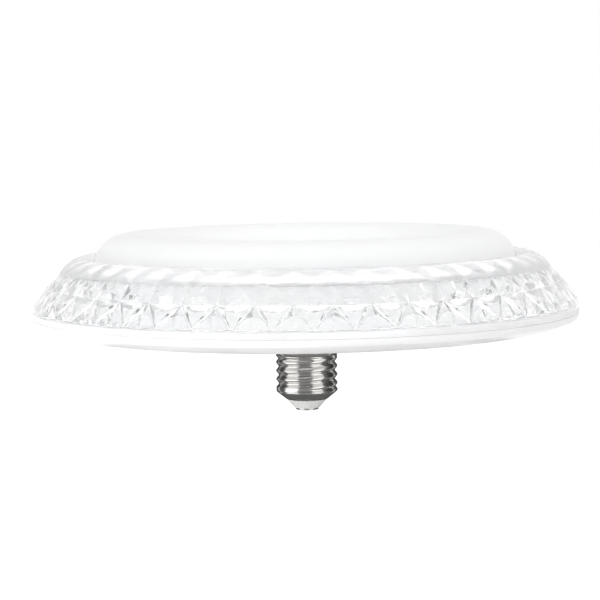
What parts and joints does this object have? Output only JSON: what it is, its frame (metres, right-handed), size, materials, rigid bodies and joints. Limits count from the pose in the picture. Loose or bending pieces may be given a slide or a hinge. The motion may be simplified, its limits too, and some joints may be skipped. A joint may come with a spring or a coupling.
{
  "type": "led disc lamp",
  "caption": "Flat round lamp with a screw cap, a white pan, a clear cut-crystal rim and a raised opal ring cover with a sunken middle.",
  "frame": {"origin": "tip of the cap's centre contact, on the lamp's axis", "axes": "+Z along the lamp's axis from the cap towards the light-giving side; the crystal pattern repeats round it"},
  "size_m": [0.23, 0.23, 0.076],
  "materials": {
    "nickel_plated_brass": "bright nickel plate on rolled brass sheet",
    "contact_metal": "nickel plate, slightly dull",
    "insulator_white": "moulded white insulator, satin",
    "pan_white": "moulded white plastic, soft gloss",
    "crystal_clear": "clear moulded plastic, smooth outside and cut facets inside",
    "opal_white": "milky light-diffusing plastic, satin",
    "board_white": "aluminium board with white solder mask",
    "led_phosphor": "white package with a yellow window",
    "screw_steel": "zinc-plated steel",
    "terminal_white": "moulded white plastic",
    "board_green": "fibreglass board with green solder mask",
    "capacitor_sleeve": "shrunk black sleeve on an aluminium can",
    "film_yellow": "moulded yellow case",
    "ferrite": "sintered ferrite, matt",
    "winding_copper": "enamelled copper wire",
    "chip_black": "black moulded package with tinned legs",
    "resistor_green": "green cement coat with tinned leads",
    "varistor_blue": "blue dipped coat with tinned legs",
    "wire_red": "red insulated wire",
    "wire_black": "black insulated wire"
  },
  "bodies": {
    "root": {"cap_shell": "nickel_plated_brass", "centre_contact": "contact_metal", "cap_insulator": "insulator_white", "back_pan": "pan_white", "crystal_ring": "crystal_clear", "opal_cover": "opal_white", "led_board": "board_white", "led_chips": "led_phosphor", "board_screws": "screw_steel", "driver_screws": "screw_steel", "wire_terminal": "terminal_white", "driver_board": "board_green", "electrolytic_capacitor": "capacitor_sleeve", "film_capacitor": "film_yellow", "inductor_core": "ferrite", "inductor_winding": "winding_copper", "bridge_rectifier": "chip_black", "driver_ic": "chip_black", "fuse_resistor": "resistor_green", "varistor": "varistor_blue", "phase_wire": "wire_red", "positive_wire": "wire_red", "neutral_wire": "wire_black", "negative_wire": "wire_black"}
  },
  "joints": []
}
